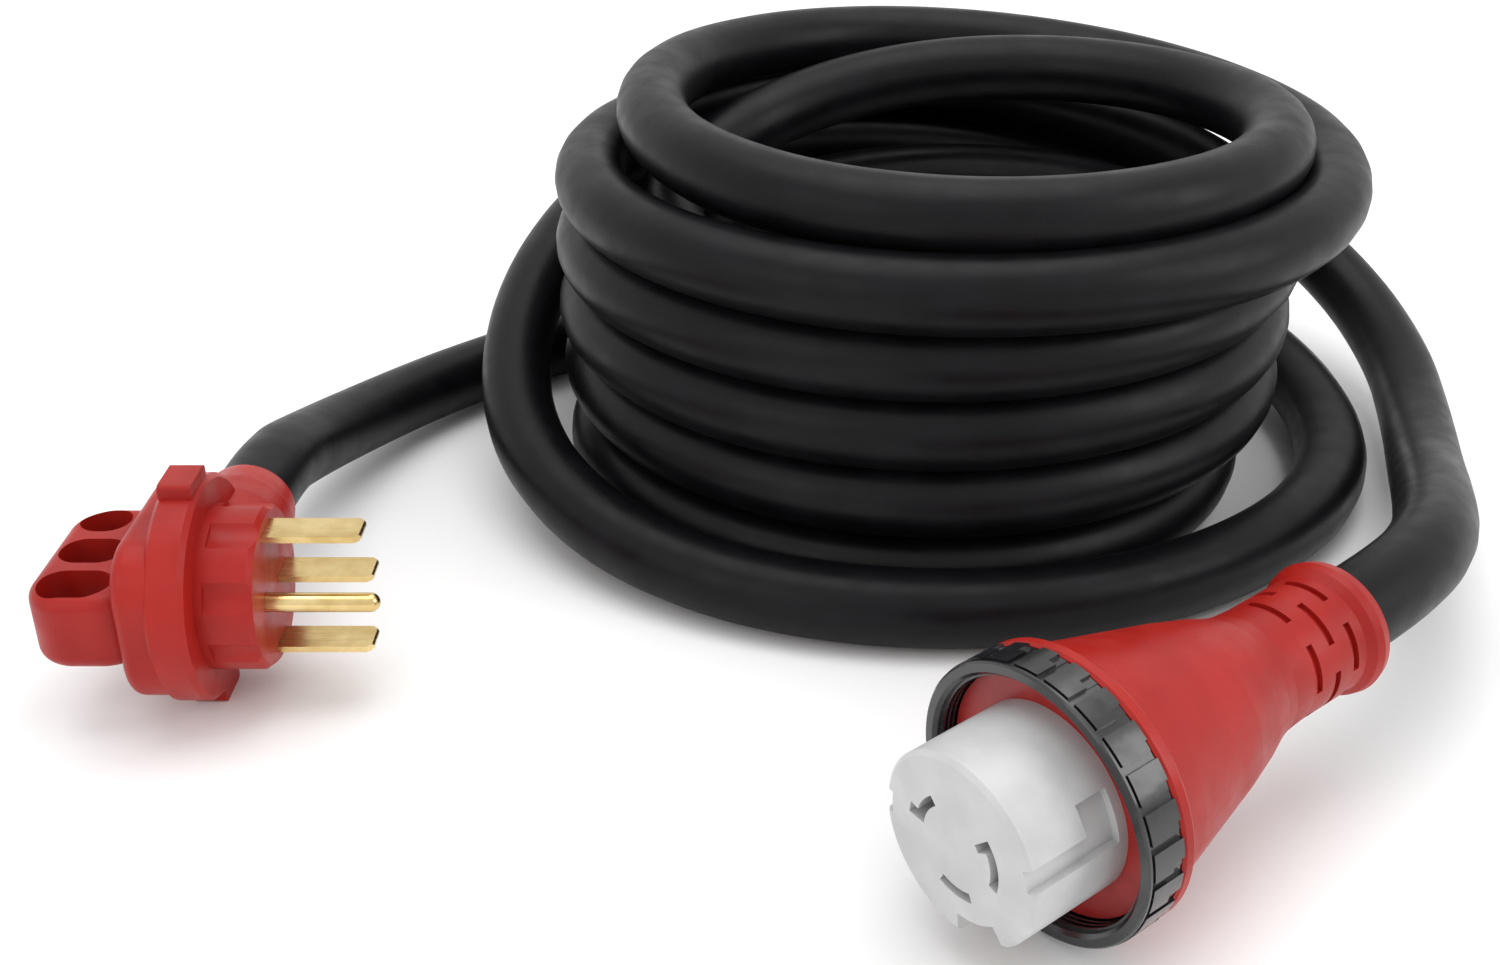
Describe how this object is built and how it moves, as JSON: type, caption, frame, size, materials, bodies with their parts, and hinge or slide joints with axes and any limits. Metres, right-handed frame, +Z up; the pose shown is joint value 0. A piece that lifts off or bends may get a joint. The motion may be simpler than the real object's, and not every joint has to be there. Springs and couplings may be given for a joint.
{
  "type": "shore power cord",
  "caption": "Coiled shore power cord with a right-angle blade plug with finger handle and a locking female connector.",
  "frame": {"origin": "on the floor, under the middle of the box around the plug and the connector", "axes": "+Z up; +X from the plug to the connector, and the way the plug's blades point; +Y to the back"},
  "size_m": [0.493, 0.5027, 0.152],
  "materials": {
    "red_vinyl": "satin moulded vinyl",
    "red_seal": "smooth rubber",
    "white_nylon": "satin nylon",
    "black_ring": "glossy moulded",
    "black_insulator": "matte phenolic",
    "contact_brass": "satin plated",
    "blade_brass": "bright rolled",
    "steel_screw": "zinc plated",
    "cable_jacket": "satin jacket with faint scuffs",
    "wire_black": "insulation",
    "wire_red": "insulation",
    "wire_white": "insulation",
    "wire_green": "insulation",
    "grommet_rubber": "matte rubber",
    "washer_plastic": "matte"
  },
  "bodies": {
    "cord_set": {"connector_boot": "red_vinyl", "connector_nose": "white_nylon", "connector_gasket": "red_seal", "ring_retainer": "washer_plastic", "contact_carrier": "black_insulator", "line_contact_x": "contact_brass", "line_contact_y": "contact_brass", "neutral_contact": "contact_brass", "ground_contact": "contact_brass", "connector_terminal_screws": "steel_screw", "carrier_screws": "steel_screw", "cord_clamp_upper": "washer_plastic", "cord_clamp_lower": "washer_plastic", "cord_clamp_screws": "steel_screw", "connector_cable_end": "cable_jacket", "connector_wire_black": "wire_black", "connector_wire_red": "wire_red", "connector_wire_white": "wire_white", "connector_wire_green": "wire_green", "plug_handle_housing": "red_vinyl", "plug_front_body": "red_vinyl", "plug_core": "black_insulator", "blade_line_x": "blade_brass", "blade_line_y": "blade_brass", "blade_neutral": "blade_brass", "ground_pin": "blade_brass", "plug_terminal_screws": "steel_screw", "plug_core_screws": "steel_screw", "plug_grommet": "grommet_rubber", "plug_thrust_washer": "washer_plastic", "plug_cable_end": "cable_jacket", "plug_wire_black": "wire_black", "plug_wire_red": "wire_red", "plug_wire_white": "wire_white", "plug_wire_green": "wire_green", "cord_coil": "cable_jacket", "cord_connector_run": "cable_jacket", "cord_plug_run": "cable_jacket"},
    "lock_ring": {"lock_ring": "black_ring"}
  },
  "joints": [
    {"name": "lock_ring_turn", "type": "hinge", "parent": "cord_set", "child": "lock_ring", "pos_m": [0.0926, -0.05856, 0.03983], "axis": [-0.7971, -0.6007, -0.061], "continuous": true}
  ]
}
